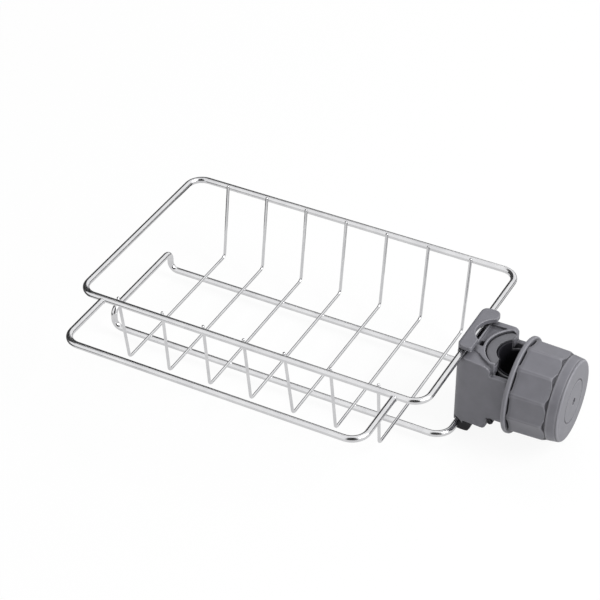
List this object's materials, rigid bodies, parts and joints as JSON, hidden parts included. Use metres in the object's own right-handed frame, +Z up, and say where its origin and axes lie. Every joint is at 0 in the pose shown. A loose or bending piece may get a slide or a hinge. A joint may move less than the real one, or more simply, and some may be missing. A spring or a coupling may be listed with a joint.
{
  "type": "faucet sponge holder",
  "caption": "Welded wire basket for sponges with a towel bar, hung on a faucet pipe by a plastic screw clamp with a large fluted knob.",
  "frame": {"origin": "on the faucet pipe's axis in the clamp's seat, at the height of the knob's axis", "axes": "+X along the knob's axis from the basket to the knob, +Y to the back, away from the towel bar, +Z up along the pipe"},
  "size_m": [0.219, 0.138, 0.0473],
  "materials": {
    "stainless": "polished",
    "grey_plastic": "satin",
    "black_rubber": "matte",
    "dark_screw": "satin"
  },
  "bodies": {
    "rack": {"top_rim": "stainless", "bottom_frame": "stainless", "towel_bar": "stainless", "cross_wire_1": "stainless", "cross_wire_2": "stainless", "cross_wire_3": "stainless", "cross_wire_4": "stainless", "cross_wire_5": "stainless", "cross_wire_6": "stainless", "cross_wire_7": "stainless", "clamp_body": "grey_plastic", "seat_liner": "grey_plastic", "seat_pad": "black_rubber", "lower_clip": "grey_plastic", "clip_screws": "stainless", "liner_screws": "dark_screw"},
    "jaw": {"jaw_block": "grey_plastic", "jaw_pad": "black_rubber", "swivel_screw": "stainless", "thrust_washer": "stainless"},
    "knob": {"knob_shell": "grey_plastic", "knob_cap": "grey_plastic"}
  },
  "joints": [
    {"name": "jaw_slide", "type": "slide", "parent": "rack", "child": "jaw", "axis": [1, 0, 0], "range_m": [0, 0.01]},
    {"name": "knob_turn", "type": "hinge", "parent": "jaw", "child": "knob", "pos_m": [0.013, 0, 0], "axis": [1, 0, 0], "range_deg": [0, 900]}
  ],
  "couplings": [
    {"joint": "jaw_slide", "follows": "knob_turn", "m_per_rad": 0.0006366}
  ]
}
